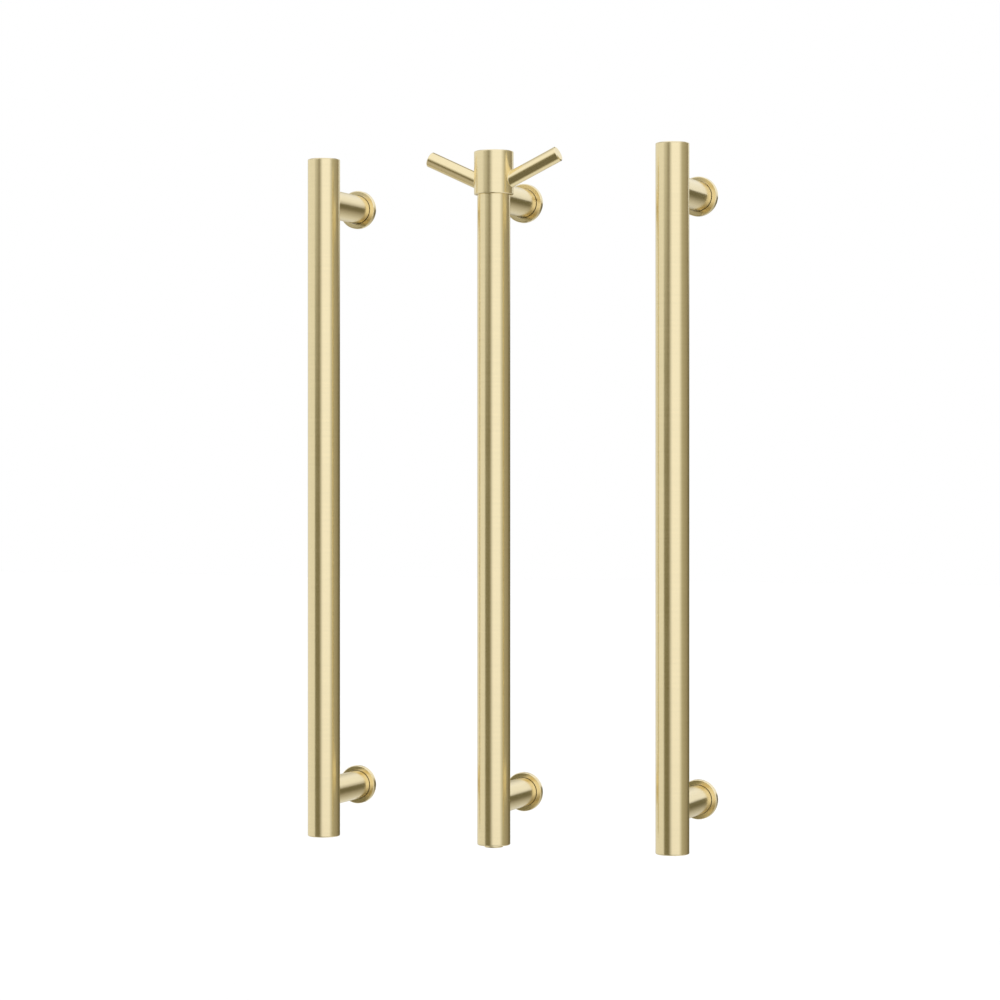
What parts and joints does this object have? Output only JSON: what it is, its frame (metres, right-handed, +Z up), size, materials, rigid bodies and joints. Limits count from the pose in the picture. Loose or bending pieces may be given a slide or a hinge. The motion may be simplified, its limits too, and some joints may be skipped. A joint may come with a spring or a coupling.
{
  "type": "towel warmer rack",
  "caption": "Wall-hung towel warmer of separate heated upright round bars on round posts, the middle bar with a two-armed hook collar on top and a push button below.",
  "frame": {"origin": "centre of the back face of the middle bar's upper wall plate, on the wall plane", "axes": "+Z up along the bars, +Y into the wall, +X along the wall to the right as seen from the room"},
  "size_m": [0.479, 0.1443, 0.8049],
  "materials": {
    "brass_bar": "brushed pale gold",
    "brass_fitting": "brushed pale gold",
    "button_brass": "brushed pale gold",
    "plain_steel": "satin",
    "heater_sheath": "heat-dulled steel",
    "switch_housing": "matt",
    "silicone_lead": "matt"
  },
  "bodies": {
    "rack": {"left_bar_tube": "brass_bar", "left_top_cap": "brass_bar", "left_bottom_cap": "brass_bar", "left_heating_element": "heater_sheath", "left_lead": "silicone_lead", "left_upper_post": "brass_fitting", "left_upper_flange": "brass_fitting", "left_upper_wall_plate": "plain_steel", "left_upper_grub_screw": "plain_steel", "left_upper_wall_screw_1": "plain_steel", "left_upper_wall_screw_2": "plain_steel", "left_lower_post": "brass_fitting", "left_lower_flange": "brass_fitting", "left_lower_wall_plate": "plain_steel", "left_lower_grub_screw": "plain_steel", "left_lower_wall_screw_1": "plain_steel", "left_lower_wall_screw_2": "plain_steel", "middle_bar_tube": "brass_bar", "middle_top_cap": "brass_bar", "middle_bottom_cap": "brass_bar", "middle_heating_element": "heater_sheath", "middle_lead": "silicone_lead", "middle_upper_post": "brass_fitting", "middle_upper_flange": "brass_fitting", "middle_upper_wall_plate": "plain_steel", "middle_upper_grub_screw": "plain_steel", "middle_upper_wall_screw_1": "plain_steel", "middle_upper_wall_screw_2": "plain_steel", "middle_lower_post": "brass_fitting", "middle_lower_flange": "brass_fitting", "middle_lower_wall_plate": "plain_steel", "middle_lower_grub_screw": "plain_steel", "middle_lower_wall_screw_1": "plain_steel", "middle_lower_wall_screw_2": "plain_steel", "right_bar_tube": "brass_bar", "right_top_cap": "brass_bar", "right_bottom_cap": "brass_bar", "right_heating_element": "heater_sheath", "right_lead": "silicone_lead", "right_upper_post": "brass_fitting", "right_upper_flange": "brass_fitting", "right_upper_wall_plate": "plain_steel", "right_upper_grub_screw": "plain_steel", "right_upper_wall_screw_1": "plain_steel", "right_upper_wall_screw_2": "plain_steel", "right_lower_post": "brass_fitting", "right_lower_flange": "brass_fitting", "right_lower_wall_plate": "plain_steel", "right_lower_grub_screw": "plain_steel", "right_lower_wall_screw_1": "plain_steel", "right_lower_wall_screw_2": "plain_steel", "switch_body": "switch_housing", "switch_lead": "silicone_lead", "button_spring": "plain_steel"},
    "hook": {"hook_collar": "brass_fitting", "hook_arm_left": "brass_fitting", "hook_arm_right": "brass_fitting", "hook_grub_screw": "plain_steel"},
    "button": {"button_cap": "button_brass"}
  },
  "joints": [
    {"name": "hook_lift", "type": "slide", "parent": "rack", "child": "hook", "axis": [0, 0, 1], "range_m": [0, 0.055]},
    {"name": "button_press", "type": "slide", "parent": "rack", "child": "button", "axis": [0, 0, 1], "range_m": [0, 0.0018], "stiffness_N_per_m": 400, "springref_m": -0.004, "deforming": ["button_spring"]}
  ]
}
